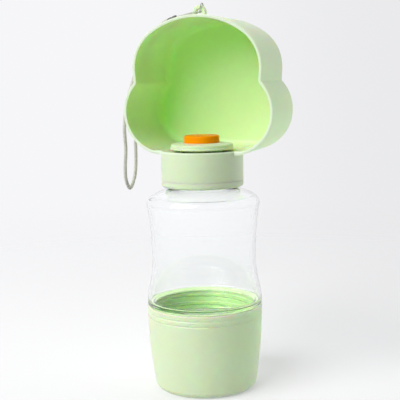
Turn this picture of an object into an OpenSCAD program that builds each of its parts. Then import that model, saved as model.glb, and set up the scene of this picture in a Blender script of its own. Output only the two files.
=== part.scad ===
// Travel water bottle for dogs, with a food cup below and a drinking bowl on the cap.
// Millimetres, +Z up. The origin is the middle of the food cup's underside, on the bottle's axis.
// The drinking bowl opens towards -Y, and the wrist strap hangs down its left side (-X).

/* [Food cup] */
// Outer radius at the rim
cup_rim_r = 37; // [35:0.5:40]
// Height from the table to the rim
cup_h = 54; // [50:1:60]
// Wall thickness
cup_wall = 2.4; // [2:0.1:2.8]
// Radius of the side's bulge, seen from the side
cup_side_r = 305; // [250:5:600]
// Radius of the rounded edge round the base
cup_base_round = 4.5; // [3:0.5:6]

/* [Bottle] */
// Outer radius of the ledge that sits over the cup
ledge_r = 36.9; // [36:0.1:39]
// Outer radius at the waist
waist_r = 33.3; // [31:0.1:34.4]
// Outer radius of the shoulder's corner
shoulder_r = 36; // [34.6:0.1:38]
// Wall thickness of the clear plastic
bottle_wall = 1.8; // [1.2:0.1:2.2]
// Outer radius of the neck, under its thread
neck_r = 20.6; // [20:0.1:20.8]
// Depth of the plug that screws into the cup
plug_depth = 14.8; // [12:0.2:18]

/* [Drinking bowl] */
// Wall thickness of the bowl
bowl_wall = 1.8; // [1.4:0.1:2.4]
// How far the opening stands in front of the bottle's axis
bowl_front = 9; // [6:0.5:12]
// How far the back reaches behind the axis
bowl_back = 43; // [38:0.5:48]
// Outer radius of the two side lobes
side_lobe_r = 27; // [26:0.5:28]
// Outer radius of the top lobe's two corners
top_lobe_r = 28.3; // [27:0.1:29]
// Outer radius of the flatter arc over the top
top_arc_r = 54.2; // [50:0.2:60]
// How much narrower the back is than the opening, on each side
bowl_draft = 0.6; // [0:0.1:1.2]
// Outer radius of the collar below the bowl
collar_r = 26.1; // [26:0.1:27]

/* [Water outlet] */
// Radius of the outlet disc
disc_r = 20.1; // [19:0.1:21]
// Radius of the press button
button_r = 11.2; // [10.5:0.1:11.4]
// How far the button presses in
button_travel = 3; // [2:0.5:3]

/* [Wrist strap] */
// Diameter of the strap's soft cord
strap_d = 2.6; // [2.2:0.2:2.8]
// Diameter of the thin string through the lug
string_d = 0.9; // [0.7:0.1:1]

/* [Hidden] */
$fn = 96;

// Heights up the axis
seal_t = 0.8;
ledge_z = cup_h + seal_t;
plug_z = ledge_z - plug_depth;
waist_z = 86;
neck_top_z = 146.5;
neck_seal_t = 1.9;
flange_z = neck_top_z + neck_seal_t;
flange_t = 2;
floor_under_z = flange_z + flange_t;
floor_t = 1.8;
floor_z = floor_under_z + floor_t;
collar_z = 130.2;
ring_foot_h = 4.2;
skirt_z = collar_z + ring_foot_h + 0.2;
lip_h = 1;
disc_under_z = floor_z + 1.7;
disc_edge_t = 3.2;
disc_top_z = 158;
button_top_z = 162.5;

// Food cup
cup_floor_t = 2.6;
cup_mouth_r = 34.2;
cup_mouth_depth = 16;
cup_groove_drops = [3.4, 6.7];
cup_groove_w = 0.9;
cup_groove_depth = 0.3;
cup_floor_round = 3;
cup_mouth_step = 0.5;
rim_round = 0.7;
cup_seal_r = 36.2;
cup_seal_bore_r = 33.6;

// Bottle
plug_r = 33.2;
plug_wall = 1.4;
plug_round = 3;
plug_foot_r = 28;
push_up = 7;
ledge_band = 1.2;
ledge_arc_r = 40;
waist_h = waist_z - ledge_z - ledge_band;
waist_arc_r = (pow(waist_h, 2) + pow(ledge_r - waist_r, 2)) / 2 / (ledge_r - waist_r) - ledge_arc_r;
corner_r = 6;
corner_z = 119.6;
corner_step = shoulder_r - corner_r - waist_r;
upper_arc_r = (pow(corner_z - waist_z, 2) + pow(corner_step, 2) - pow(corner_r, 2))
    / 2 / (corner_r + corner_step);
dome_r = 75;
neck_wall = 2;
neck_bore_r = neck_r - neck_wall;
neck_seal_r = 21.2;
neck_seal_bore_r = 17.4;

// Collar and screw ring
sleeve_r = 24;
sleeve_bore_r = 22.4;
skirt_gap = 0.1;
ring_foot_round = 2;
ring_lead = 0.8;

// Drinking bowl: two side lobes low down, and a wide lobe above with a flatter arc between its corners
side_lobe = [22.7, floor_z + side_lobe_r - bowl_wall];
bowl_top_z = 237.4;
top_arc_spread = 34.3;
top_arc_steps = 8;
top_low_corner = [14.2, 199.5];
bowl_back_round = 6;
lip_t = 1.2;
lobe_inside_r = side_lobe_r - bowl_wall;
lip_root = 0.5;
lip_reach = side_lobe.x + sqrt(pow(lobe_inside_r, 2) - pow(lobe_inside_r - lip_h, 2)) + lip_root;
lug_r = 4.3;
lug_z = 239.1;
lug_hole_r = 1.8;
lug_t = 3;
lug_y = 0.5;
lug_foot = 3;

// Valve
valve_hole_r = 16.6;
flange_r = 21.8;
tube_r = 16.4;
tube_bore_r = 15;
tube_bottom_z = 136.2;
tube_round = 1;
seat_hole_r = 7.5;
seat_bead_h = 0.5;
seat_bead_w = 0.8;
seat_bead_foot = 0.4;
washer_z = tube_bottom_z - seat_bead_h;
washer_r = 9.6;
washer_t = 2;
holder_r = 8.6;
holder_t = 1.5;
holder_z = washer_z - washer_t - holder_t;
floor_seal_r = 18.9;
floor_seal_wire = 0.9;
floor_seal_t = 1.5;
groove_play = 0.1;
well_r = 13;
well_bore_r = 11.6;
well_floor_z = 146.2;
well_floor_t = 1.6;
well_round = 1;
disc_round = 0.5;
well_lead = 0.3;
gland_r = 5.6;
gland_z = 143.2;
gland_groove_z = [gland_z + 0.7, gland_z + 2.4];
stem_r = 2.5;
stem_hole_r = 2.7;
spigot_r = 1.9;
stem_top_z = 159;
stem_seal_wire = 0.8;
stem_seal_play = 0.03;
gland_groove_r = 4.2;
screw_r = 1;
screw_head_r = 2.6;
screw_head_t = 1.6;
screw_len = 8;
screw_point = 0.4;
screw_slot = [3, 0.7, 0.8];
button_skirt_z = 154;
button_plate_t = 1.6;
button_round = 1.2;
button_wall = 1.4;
boss_r = 4.2;
boss_z = 153;
fin_t = 1.6;
fin_count = 4;
fin_z = 147;
fin_bite = 0.4;
fin_play = 0.05;
fin_seat = 0.1;

// Return spring: one wire, wound between the well's floor and the button's plate
spring_r = 6.6;
spring_wire = 0.9;
spring_turns = 5.5;
spring_rings = 8;
spring_z = well_floor_z;
spring_len = button_top_z - button_plate_t - spring_z;
SPRING = [for (i = [0 : spring_turns * spring_rings]) coil_point(i / spring_rings)];

// Wrist strap: hand-set points from the crimp, down the front strand, round the fold and back up
STRAP_ROUTE = [
    [-21.8, 0.7, 234.6], [-24.6, 0.9, 233.3], [-33.6, 2.2, 227.4], [-40.4, 3, 218.6],
    [-43.6, 2.6, 210.4], [-47.2, 0.8, 197], [-50.7, -1.4, 184.6], [-51.4, -3.4, 176],
    [-51.5, -5, 166], [-51.2, -4.6, 153], [-51.7, -5.2, 142], [-52, -3.8, 133.2],
    [-52.3, 2.6, 127.1], [-52, 9, 133], [-51.6, 11, 142], [-51.4, 11, 153],
    [-51.4, 10.8, 166], [-51.4, 10.4, 176], [-50.7, 9.8, 184.6], [-47.2, 9, 197],
    [-43.6, 8, 210.4], [-40.4, 7, 218.6], [-33.6, 5.6, 227.4], [-24.6, 3.9, 233.3], [-21.8, 3.5, 234.6]
];
// Thin string: hand-set points from the crimp, twice through the lug's hole, and back
STRING_ROUTE = [
    [-16.2, 1.5, 236.7], [-9, -1, 237.9], [-3.6, -2.2, 238.8], [-0.6, -1.7, 239.1],
    [-0.3, 0.5, 238.8], [0.5, 2.5, 239.4], [1.2, 2.9, 241.3], [1.5, 2.6, 243.2],
    [1.6, 0.5, 244.4], [1.5, -1.6, 243.2], [1.3, -2, 241.4], [0.8, -1.6, 240.1],
    [0.3, 0.5, 240], [-0.9, 2.5, 239.3], [-5, 3, 238.7], [-10, 2.8, 237.8], [-16.2, 2.6, 236.7]
];
crimp_ends = [[-16.2, 2.1, 236.7], [-21.8, 2.1, 234.6]];
crimp_spread = 1;
crimp_r = 1.5;

// Points along an arc, from one angle to another, both in degrees
function arc(c, r, a0, a1, n = 8) = [for (i = [0 : n]) c + r * [cos(a0 + (a1 - a0) * i / n),
                                                             sin(a0 + (a1 - a0) * i / n)]];
// Radius of the cup's outside at a height
function cup_r(z) = cup_rim_r - cup_side_r + sqrt(pow(cup_side_r, 2) - pow(cup_h - z, 2));
function unit(v) = v / norm(v);
// A smooth curve through hand-set points, with a number of steps between each pair
function curve_at(a, b, c, d, t) =
    0.5 * (2 * b + (c - a) * t + (2 * a - 5 * b + 4 * c - d) * t * t + (3 * b - a - 3 * c + d) * t * t * t);
function smooth(p, steps) = [
    for (i = [0 : len(p) - 2])
        for (k = [0 : steps - 1])
            curve_at(p[max(i - 1, 0)], p[i], p[i + 1], p[min(i + 2, len(p) - 1)], k / steps),
    p[len(p) - 1]
];
function tangents(p) = [for (i = [0 : len(p) - 1]) unit(p[min(i + 1, len(p) - 1)] - p[max(i - 1, 0)])];
function square_to(v, t) = unit(v - (v * t) * t);
// Length of a route, and the least gap that a tube along it leaves to its own later turns
function route_length(p) = sum_to([for (i = [1 : len(p) - 1]) norm(p[i] - p[i - 1])], 0);
function sum_to(v, i) = i == len(v) ? 0 : v[i] + sum_to(v, i + 1);
function self_gap(p, skip, d) = min([
    for (i = [0 : len(p) - 1 - skip])
        for (j = [i + skip : len(p) - 1])
            norm(p[i] - p[j])
]) - d;
function coil_point(turn) = [
    spring_r * cos(360 * turn), spring_r * sin(360 * turn),
    spring_z + spring_wire / 2 + (spring_len - spring_wire) * turn / spring_turns
];

// A round tube along a list of points, as one closed body
module tube_along(p, d, sides = 8) {
    t = tangents(p);
    n0 = square_to(abs(t[0].y) < 0.9 ? [0, 1, 0] : [1, 0, 0], t[0]);
    normals = [for (i = 0, n = n0; i < len(p); i = i + 1, n = i < len(p) ? square_to(n, t[i]) : n) n];
    points = [
        for (i = [0 : len(p) - 1])
            for (k = [0 : sides - 1])
                p[i] + d / 2 * (cos(360 * k / sides) * normals[i]
                                + sin(360 * k / sides) * cross(t[i], normals[i]))
    ];
    last = (len(p) - 1) * sides;
    walls = [
        for (i = [0 : len(p) - 2])
            for (k = [0 : sides - 1])
                for (half = [0, 1])
                    let (a = i * sides + k, b = i * sides + (k + 1) % sides)
                        half == 0 ? [a, a + sides, b] : [b, a + sides, b + sides]
    ];
    start_cap = [for (k = [1 : sides - 2]) [0, k, k + 1]];
    end_cap = [for (k = [1 : sides - 2]) [last, last + k + 1, last + k]];
    polyhedron(points, concat(walls, start_cap, end_cap));
}

module ring(r_out, r_in, z0, z1) {
    translate([0, 0, z0])
        difference() {
            cylinder(r = r_out, h = z1 - z0);
            translate([0, 0, -1])
                cylinder(r = r_in, h = z1 - z0 + 2);
        }
}

// Outline of the cup from the rim down to the base, and back up the inside
module food_cup() {
    outer_z = [for (i = [0 : 12]) cup_h - rim_round - (cup_h - rim_round - cup_base_round) * i / 12];
    base_r = cup_r(cup_base_round) - cup_base_round;
    inner_top = cup_h - cup_mouth_depth;
    inner_z = [for (i = [0 : 8]) cup_floor_t + cup_floor_round
        + (inner_top - cup_floor_t - cup_floor_round) * i / 8];
    floor_r = cup_r(cup_floor_t + cup_floor_round) - cup_wall - cup_floor_round;
    color([0.78, 0.88, 0.7])
        difference() {
            rotate_extrude()
                polygon(concat(
                    arc([cup_rim_r - rim_round, cup_h - rim_round], rim_round, 90, 0, 4),
                    [for (z = outer_z) [cup_r(z), z]],
                    arc([base_r, cup_base_round], cup_base_round, 0, -90),
                    [[0, 0], [0, cup_floor_t]],
                    arc([floor_r, cup_floor_t + cup_floor_round], cup_floor_round, -90, 0),
                    [for (z = inner_z) [min(cup_r(z) - cup_wall, cup_mouth_r), z]],
                    [[cup_mouth_r, inner_top + cup_mouth_step]],
                    arc([cup_mouth_r + rim_round, cup_h - rim_round], rim_round, 180, 90, 4)
                ));
            for (drop = cup_groove_drops)
                ring(cup_rim_r + 1, cup_r(cup_h - drop) - cup_groove_depth,
                     cup_h - drop - cup_groove_w / 2, cup_h - drop + cup_groove_w / 2);
        }
}

module cup_seal() {
    color([0.93, 0.93, 0.9])
        ring(cup_seal_r, cup_seal_bore_r, cup_h, ledge_z);
}

// Outline of the bottle from the ledge to the neck, moved inwards by the wall for the inside
function bottle_side(off) =
    let (
        ledge_c = [ledge_r - ledge_arc_r, ledge_z + ledge_band],
        waist_c = [waist_r + waist_arc_r, waist_z],
        upper_c = [waist_r + upper_arc_r, waist_z],
        turn = asin(waist_h / (ledge_arc_r + waist_arc_r)),
        corner_c = [shoulder_r - corner_r, corner_z],
        rise = asin((corner_z - waist_z) / (upper_arc_r + corner_r)),
        dome_c = [0, corner_c.y - sqrt(pow(dome_r - corner_r, 2) - pow(corner_c.x, 2))],
        lean = acos(corner_c.x / (dome_r - corner_r)),
        neck_lean = acos((off > 0 ? neck_bore_r : neck_r) / (dome_r - off))
    )
    concat(
        arc(ledge_c, ledge_arc_r - off, 0, turn),
        arc(waist_c, waist_arc_r + off, 180 + turn, 180),
        arc(upper_c, upper_arc_r + off, 180, 180 - rise),
        arc(corner_c, corner_r - off, -rise, lean, 10),
        arc(dome_c, dome_r - off, lean, neck_lean)
    );

function reverse(v) = [for (i = [len(v) - 1 : -1 : 0]) v[i]];

module bottle() {
    foot_dome_r = (pow(plug_foot_r, 2) + pow(push_up, 2)) / 2 / push_up;
    foot_c = [0, plug_z + push_up - foot_dome_r];
    foot_lean = acos(plug_foot_r / foot_dome_r);
    foot_turn = 2;
    plug_in_r = plug_r - plug_wall;
    color([0.9, 0.95, 0.97, 0.35])
        rotate_extrude()
            polygon(concat(
                arc(foot_c, foot_dome_r, 90, foot_lean),
                arc([plug_r - plug_round, plug_z + plug_round], plug_round, -90, 0),
                [[plug_r, ledge_z], [ledge_r, ledge_z]],
                bottle_side(0),
                [[neck_r, neck_top_z], [neck_bore_r, neck_top_z]],
                reverse(bottle_side(bottle_wall)),
                [[plug_in_r, ledge_z + ledge_band]],
                arc([plug_r - plug_round, plug_z + plug_round], plug_round - plug_wall, 0, -90),
                [[plug_foot_r + plug_round / 3, plug_z + plug_wall]],
                arc(foot_c, foot_dome_r + plug_wall, foot_lean + foot_turn, 90)
            ));
}

module neck_seal() {
    color([0.93, 0.93, 0.9])
        ring(neck_seal_r, neck_seal_bore_r, neck_top_z, flange_z);
}

// Threaded insert: its sleeve stands inside the bowl's skirt, and its foot shows below
module screw_ring() {
    color([0.78, 0.88, 0.7])
        rotate_extrude()
            polygon(concat(
                [[sleeve_bore_r + ring_lead, collar_z]],
                arc([collar_r - ring_foot_round, collar_z + ring_foot_round], ring_foot_round, -90, 0),
                [
                    [collar_r, collar_z + ring_foot_h], [sleeve_r, collar_z + ring_foot_h],
                    [sleeve_r, floor_under_z], [sleeve_bore_r, floor_under_z],
                    [sleeve_bore_r, collar_z + ring_lead]
                ]
            ));
}

// One round of the cloud outline, as a drum along Y with a soft back edge
module lobe(c, r, y0, y1, round, side = 1) {
    translate([side * c.x, y0, c.y])
        rotate([-90, 0, 0])
            rotate_extrude($fn = 48)
                polygon(concat(
                    [[0, 0], [r, 0]],
                    arc([r - bowl_draft - round, y1 - y0 - round], round, 0, 90, 5),
                    [[0, y1 - y0]]
                ));
}

// The cloud shape of the bowl, drawn in from its outside by a wall's thickness
module cloud(inset, y0, y1, round) {
    hull() {
        for (c = arc([0, bowl_top_z - top_arc_r], top_arc_r - top_lobe_r,
                     90 - top_arc_spread, 90 + top_arc_spread, top_arc_steps))
            lobe(c, top_lobe_r - inset, y0, y1, round);
        for (side = [-1, 1])
            lobe(top_low_corner, top_lobe_r - inset, y0, y1, round, side);
    }
    hull()
        for (side = [-1, 1])
            lobe(side_lobe, side_lobe_r - inset, y0, y1, round, side);
}

module lug() {
    translate([0, lug_y + lug_t / 2, 0])
        rotate([90, 0, 0])
            linear_extrude(lug_t)
                difference() {
                    union() {
                        translate([0, lug_z])
                            circle(r = lug_r);
                        translate([-lug_r, lug_z - lug_foot])
                            square([2 * lug_r, lug_foot]);
                    }
                    translate([0, lug_z])
                        circle(r = lug_hole_r);
                }
}

// Low lip that carries the bowl's rim round the front of the collar
module lip() {
    translate([0, 0, floor_z - lip_h / 2])
        linear_extrude(lip_h * 1.5)
            difference() {
                union() {
                    circle(r = collar_r);
                    translate([-lip_reach, -bowl_front])
                        square([2 * lip_reach, lip_t]);
                }
                circle(r = collar_r - lip_t);
                translate([-collar_r - 1, lip_t - bowl_front])
                    square([2 * collar_r + 2, 2 * collar_r]);
            }
}

module bowl() {
    color([0.78, 0.88, 0.7]) {
        difference() {
            union() {
                cloud(0, -bowl_front, bowl_back, bowl_back_round);
                translate([0, 0, skirt_z])
                    cylinder(r = collar_r, h = floor_z - skirt_z);
                lug();
            }
            cloud(bowl_wall, -bowl_front - 1, bowl_back - bowl_wall, bowl_back_round - bowl_wall);
            translate([0, 0, skirt_z - 1])
                cylinder(r = sleeve_r + skirt_gap, h = floor_under_z - skirt_z + 1);
            translate([0, 0, floor_under_z - 1])
                cylinder(r = valve_hole_r, h = floor_t + 2);
        }
        lip();
    }
}

module valve_body() {
    color([0.78, 0.88, 0.7])
        rotate_extrude()
            difference() {
                polygon([
                    [seat_hole_r, washer_z], [seat_hole_r + seat_bead_w, washer_z],
                    [seat_hole_r + seat_bead_w + seat_bead_foot, tube_bottom_z],
                    [tube_r - tube_round, tube_bottom_z], [tube_r, tube_bottom_z + tube_round],
                    [tube_r, flange_z], [flange_r, flange_z],
                    [flange_r, floor_under_z], [tube_r, floor_under_z], [tube_r, floor_z],
                    [tube_bore_r, floor_z], [tube_bore_r, tube_bottom_z + floor_t],
                    [seat_hole_r, tube_bottom_z + floor_t]
                ]);
                translate([floor_seal_r - floor_seal_wire - groove_play, floor_under_z - floor_seal_t])
                    square([2 * floor_seal_wire + 2 * groove_play, flange_t]);
            }
}

module o_ring(r, wire, z) {
    translate([0, 0, z])
        rotate_extrude()
            translate([r, 0])
                circle(r = wire, $fn = 24);
}

module floor_seal() {
    color([0.93, 0.93, 0.9])
        intersection() {
            o_ring(floor_seal_r, floor_seal_wire, floor_under_z - floor_seal_t / 2);
            ring(flange_r, tube_r, floor_under_z - floor_seal_t, floor_under_z);
        }
}

// Disc over the outlet, with the button's well hanging from its middle
module outlet_disc() {
    well_under_z = well_floor_z - well_floor_t;
    color([0.78, 0.88, 0.7]) {
        rotate_extrude()
            polygon(concat(
                [[stem_hole_r, gland_z], [gland_r, gland_z], [gland_r, well_under_z]],
                [[well_r - well_round, well_under_z], [well_r, well_under_z + well_round]],
                [[well_r, disc_under_z]],
                arc([disc_r - disc_round, disc_under_z + disc_round], disc_round, -90, 0, 3),
                arc([disc_r - disc_round, disc_under_z + disc_edge_t - disc_round], disc_round, 0, 80, 4),
                [[well_bore_r + well_lead, disc_top_z], [well_bore_r, disc_top_z - well_lead]],
                [[well_bore_r, well_floor_z], [stem_hole_r, well_floor_z]],
                [[stem_hole_r, gland_groove_z[1]], [gland_groove_r, gland_groove_z[1]]],
                [[gland_groove_r, gland_groove_z[0]], [stem_hole_r, gland_groove_z[0]]]
            ));
        for (i = [0 : fin_count - 1])
            rotate(360 * (i + 0.5) / fin_count) {
                fin(tube_bore_r - fin_play, fin_z);
                fin(tube_r + fin_seat, floor_z);
            }
    }
}

// One of the four ribs that hold the disc: the upper part rests on the valve's edge
module fin(r, z0) {
    translate([well_r - fin_bite, -fin_t / 2, z0])
        cube([r - well_r + fin_bite, fin_t, disc_under_z + fin_bite - z0]);
}

module stem_seal() {
    color([0.3, 0.3, 0.3])
        o_ring(stem_r + stem_seal_wire + stem_seal_play, stem_seal_wire,
               (gland_groove_z[0] + gland_groove_z[1]) / 2);
}

module return_spring() {
    color([0.75, 0.76, 0.78])
        tube_along(SPRING, spring_wire, 6);
}

module button() {
    plate_z = button_top_z - button_plate_t;
    color([1, 0.58, 0.05])
        rotate_extrude()
            polygon(concat(
                [[stem_r, boss_z], [boss_r, boss_z], [boss_r, plate_z], [button_r - button_wall, plate_z]],
                [[button_r - button_wall, button_skirt_z], [button_r, button_skirt_z]],
                arc([button_r - button_round, button_top_z - button_round], button_round, 0, 90, 6),
                [[0, button_top_z], [0, stem_top_z], [stem_r, stem_top_z]]
            ));
}

module valve_stem() {
    hole_top_z = holder_z + screw_len + screw_point;
    color([0.9, 0.9, 0.88])
        rotate_extrude()
            polygon([
                [screw_r, holder_z], [spigot_r, holder_z], [spigot_r, washer_z], [stem_r, washer_z],
                [stem_r, stem_top_z], [0, stem_top_z], [0, hole_top_z], [screw_r, hole_top_z]
            ]);
}

module valve_washer() {
    color([0.93, 0.93, 0.9])
        ring(washer_r, spigot_r, washer_z - washer_t, washer_z);
}

module washer_holder() {
    color([0.9, 0.9, 0.88])
        ring(holder_r, spigot_r, holder_z, washer_z - washer_t);
}

module stem_screw() {
    color([0.7, 0.71, 0.73])
        difference() {
            union() {
                translate([0, 0, holder_z])
                    cylinder(r = screw_r, h = screw_len);
                translate([0, 0, holder_z - screw_head_t])
                    cylinder(r1 = screw_head_r - screw_point, r2 = screw_head_r, h = screw_head_t);
            }
            for (a = [0, 90])
                rotate(a)
                    translate([-screw_slot.x / 2, -screw_slot.y / 2, holder_z - screw_head_t - 1])
                        cube([screw_slot.x, screw_slot.y, screw_slot.z + 1]);
        }
}

module strap_string() {
    color([0.6, 0.6, 0.57])
        tube_along(smooth(STRING_ROUTE, 2), string_d);
}

// Small squeezed sleeve that joins the string to the two ends of the strap
module strap_crimp() {
    a = crimp_ends[0];
    b = crimp_ends[1];
    lean = atan2(a.z - b.z, a.x - b.x);
    color([0.35, 0.35, 0.35])
        for (side = [-1, 1])
            translate(b + [0, side * crimp_spread, 0])
                rotate([0, 90 - lean, 0])
                    cylinder(r = crimp_r, h = norm(a - b));
}

module strap_cord() {
    color([0.72, 0.72, 0.68])
        tube_along(smooth(STRAP_ROUTE, 2), strap_d);
}

echo(spring_gap = self_gap(SPRING, 4, spring_wire));
echo(strap_length = route_length(smooth(STRAP_ROUTE, 6)));
echo(string_length = route_length(smooth(STRING_ROUTE, 6)));

food_cup();
cup_seal();
bottle();
neck_seal();
screw_ring();
bowl();
valve_body();
floor_seal();
outlet_disc();
stem_seal();
return_spring();
button();
valve_stem();
valve_washer();
washer_holder();
stem_screw();
strap_string();
strap_crimp();
strap_cord();
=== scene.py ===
import math

import bmesh
import bpy
from mathutils import Matrix, Vector


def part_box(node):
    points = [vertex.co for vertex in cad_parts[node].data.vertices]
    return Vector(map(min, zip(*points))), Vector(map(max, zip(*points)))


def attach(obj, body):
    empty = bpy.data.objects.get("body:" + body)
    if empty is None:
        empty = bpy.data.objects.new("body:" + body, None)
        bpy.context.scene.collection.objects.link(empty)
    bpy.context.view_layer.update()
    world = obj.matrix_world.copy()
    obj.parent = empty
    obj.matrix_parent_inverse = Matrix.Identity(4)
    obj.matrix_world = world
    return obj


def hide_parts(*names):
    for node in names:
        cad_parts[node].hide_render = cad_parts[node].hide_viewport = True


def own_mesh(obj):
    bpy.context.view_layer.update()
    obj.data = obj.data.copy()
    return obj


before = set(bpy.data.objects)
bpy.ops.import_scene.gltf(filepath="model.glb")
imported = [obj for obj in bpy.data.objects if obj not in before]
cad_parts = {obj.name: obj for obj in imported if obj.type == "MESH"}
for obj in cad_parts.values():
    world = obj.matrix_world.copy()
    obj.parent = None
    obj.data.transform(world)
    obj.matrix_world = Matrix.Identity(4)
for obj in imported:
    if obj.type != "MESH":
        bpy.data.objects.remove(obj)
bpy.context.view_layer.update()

# A travel water bottle for dogs: food cup, clear bottle, and a cap with a cloud-shaped drinking bowl.
# Every size is in millimetres until a mesh is finished, and +Z is up the bottle's axis.
MM = 0.001
AROUND = 160
ON_AXIS = 1e-6
SHARP_DEG = 34


def reach(node):
    """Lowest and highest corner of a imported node, in mm."""
    low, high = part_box(node)
    return low / MM, high / MM


_, cup_high = reach("food_cup")
_, seal_high = reach("cup_seal")
bottle_low, bottle_high = reach("bottle")
ring_low, ring_high = reach("screw_ring")
_, bowl_high = reach("bowl")
disc_low, disc_high = reach("outlet_disc")
button_low, button_high = reach("button")
spring_low, spring_high = reach("return_spring")


# Outlines

def arc(centre, radius, start, end, steps=8):
    """Points on an arc, from one angle to another in degrees."""
    angles = [math.radians(start + (end - start) * k / steps) for k in range(steps + 1)]
    return [(centre[0] + radius * math.cos(a), centre[1] + radius * math.sin(a)) for a in angles]


def rounded(corners, steps=5):
    """An outline through its corners. A third number is the radius that rounds that corner."""
    points = []
    for i, corner in enumerate(corners):
        here = Vector(corner[:2])
        if len(corner) == 2:
            points.append(here)
            continue
        back = (Vector(corners[i - 1][:2]) - here).normalized()
        ahead = (Vector(corners[(i + 1) % len(corners)][:2]) - here).normalized()
        half = back.angle(ahead) / 2
        centre = here + (back + ahead).normalized() * corner[2] / math.sin(half)
        start = here + back * corner[2] / math.tan(half) - centre
        end = here + ahead * corner[2] / math.tan(half) - centre
        points += [centre + start.slerp(end, k / steps) * corner[2] for k in range(steps + 1)]
    return points


def smooth_route(points, steps):
    """A smooth curve through given points."""
    p = [Vector(q) for q in points]
    made = []
    for i in range(len(p) - 1):
        a, b, c, d = p[max(i - 1, 0)], p[i], p[i + 1], p[min(i + 2, len(p) - 1)]
        for k in range(steps):
            t = k / steps
            made.append(0.5 * (2 * b + (c - a) * t + (2 * a - 5 * b + 4 * c - d) * t ** 2
                               + (3 * b - a - 3 * c + d) * t ** 3))
    return [*made, p[-1]]


# Meshes

def piece_from(name, shape, material=None):
    """Turns a closed bmesh in mm into an object in metres, facing outwards, smooth between its sharp edges."""
    bmesh.ops.recalc_face_normals(shape, faces=shape.faces)
    bmesh.ops.scale(shape, vec=(MM, MM, MM), verts=shape.verts)
    data = bpy.data.meshes.new(name)
    shape.to_mesh(data)
    shape.free()
    piece = bpy.data.objects.new(name, data)
    bpy.context.scene.collection.objects.link(piece)
    if material:
        data.materials.append(material)
    return shaded(piece)


def shaded(piece):
    piece.data.shade_smooth()
    piece.data.set_sharp_from_angle(angle=math.radians(SHARP_DEG))
    return piece


def lathe(name, outline, material=None, around=AROUND):
    """Turns a closed outline of (radius, height) points round the bottle's axis."""
    shape = bmesh.new()
    turns = [2 * math.pi * k / around for k in range(around)]
    rings = []
    for radius, height in outline:
        if abs(radius) < ON_AXIS:
            rings.append([shape.verts.new((0, 0, height))])
        else:
            rings.append([shape.verts.new((radius * math.cos(t), radius * math.sin(t), height))
                          for t in turns])
    for ring, after in zip(rings, rings[1:] + rings[:1]):
        if len(ring) == 1 and len(after) == 1:
            continue
        for k in range(around):
            j = (k + 1) % around
            corners = [ring[k % len(ring)], ring[j % len(ring)], after[j % len(after)], after[k % len(after)]]
            shape.faces.new(list(dict.fromkeys(corners)))
    return piece_from(name, shape, material)


def skin(name, rings, material=None, upright=False, material_picks=None):
    """A closed solid through rings of points, capped at its ends. Upright swaps height and depth."""
    shape = bmesh.new()
    rows = [[shape.verts.new((p[0], p[2], p[1]) if upright else p) for p in ring] for ring in rings]
    count = len(rows[0])
    material_picks = material_picks or [0] * len(rows)
    for row, after, material_pick in zip(rows, rows[1:], material_picks):
        for k in range(count):
            j = (k + 1) % count
            shape.faces.new((row[k], row[j], after[j], after[k])).material_index = material_pick
    for row, material_pick in ((rows[0], material_picks[0]), (rows[-1], material_picks[-1])):
        shape.faces.new(row).material_index = material_pick
    return piece_from(name, shape, material)


def swept(section, path):
    """Rings of a section, (across, height), carried along a flat path of (x, y) points."""
    path = [Vector(p) for p in path]
    rings = []
    for i, here in enumerate(path):
        ahead = (path[min(i + 1, len(path) - 1)] - path[max(i - 1, 0)]).normalized()
        side = Vector((-ahead.y, ahead.x))
        rings.append([(*(here + side * across), height) for across, height in section])
    return rings


def combined(base, joined=(), cut=()):
    """Joins solids to a base and cuts others out of it, into one plain mesh."""
    for operation, tools in (("UNION", joined), ("DIFFERENCE", cut)):
        for tool in tools:
            step = base.modifiers.new(tool.name, "BOOLEAN")
            step.operation = operation
            step.solver = "EXACT"
            step.material_mode = "TRANSFER"
            step.object = tool
    keep_result(base)
    for tool in (*joined, *cut):
        bpy.data.objects.remove(tool)
    return shaded(base)


def keep_result(piece):
    """Keeps what a piece's modifiers make as its plain mesh."""
    made = bpy.data.meshes.new_from_object(piece.evaluated_get(bpy.context.evaluated_depsgraph_get()))
    piece.modifiers.clear()
    made.name = piece.name
    piece.data = made


def placed(piece, body, slot, *nodes):
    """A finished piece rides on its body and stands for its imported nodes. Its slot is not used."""
    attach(piece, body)
    if nodes:
        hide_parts(*nodes)
    return piece


# Node trees

def add(tree, kind, links=None, **settings):
    """Adds a node. Settings are its properties. Links fill its sockets with values or other nodes' sockets."""
    node = tree.nodes.new(kind)
    for name, value in settings.items():
        setattr(node, name, value)
    for key, value in (links or {}).items():
        if isinstance(value, bpy.types.Node):
            value = value.outputs[0]
        if isinstance(value, bpy.types.NodeSocket):
            tree.links.new(value, node.inputs[key])
        else:
            node.inputs[key].default_value = value
    return node


def maths(tree, operation, *values):
    return add(tree, "ShaderNodeMath", dict(enumerate(values)), operation=operation)


def on_vectors(tree, operation, *values):
    return add(tree, "ShaderNodeVectorMath", dict(enumerate(values)), operation=operation)


def scaled(tree, vector, factor):
    return add(tree, "ShaderNodeVectorMath", {0: vector, "Scale": factor}, operation="SCALE")


def new_tree(name, inputs):
    """A Geometry Nodes tree that takes a geometry and named sizes."""
    tree = bpy.data.node_groups.new(name, "GeometryNodeTree")
    for title, kind in {"Geometry": "Geometry", **inputs, "Material": "Material"}.items():
        tree.interface.new_socket(title, in_out="INPUT", socket_type="NodeSocket" + kind)
    tree.interface.new_socket("Geometry", in_out="OUTPUT", socket_type="NodeSocketGeometry")
    return tree, add(tree, "NodeGroupInput").outputs


def end_tree(tree, geometry, given):
    real = add(tree, "GeometryNodeRealizeInstances", {"Geometry": geometry})
    done = add(tree, "GeometryNodeSetMaterial", {"Geometry": real, "Material": given["Material"]})
    add(tree, "NodeGroupOutput", {"Geometry": done})
    return tree


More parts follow.
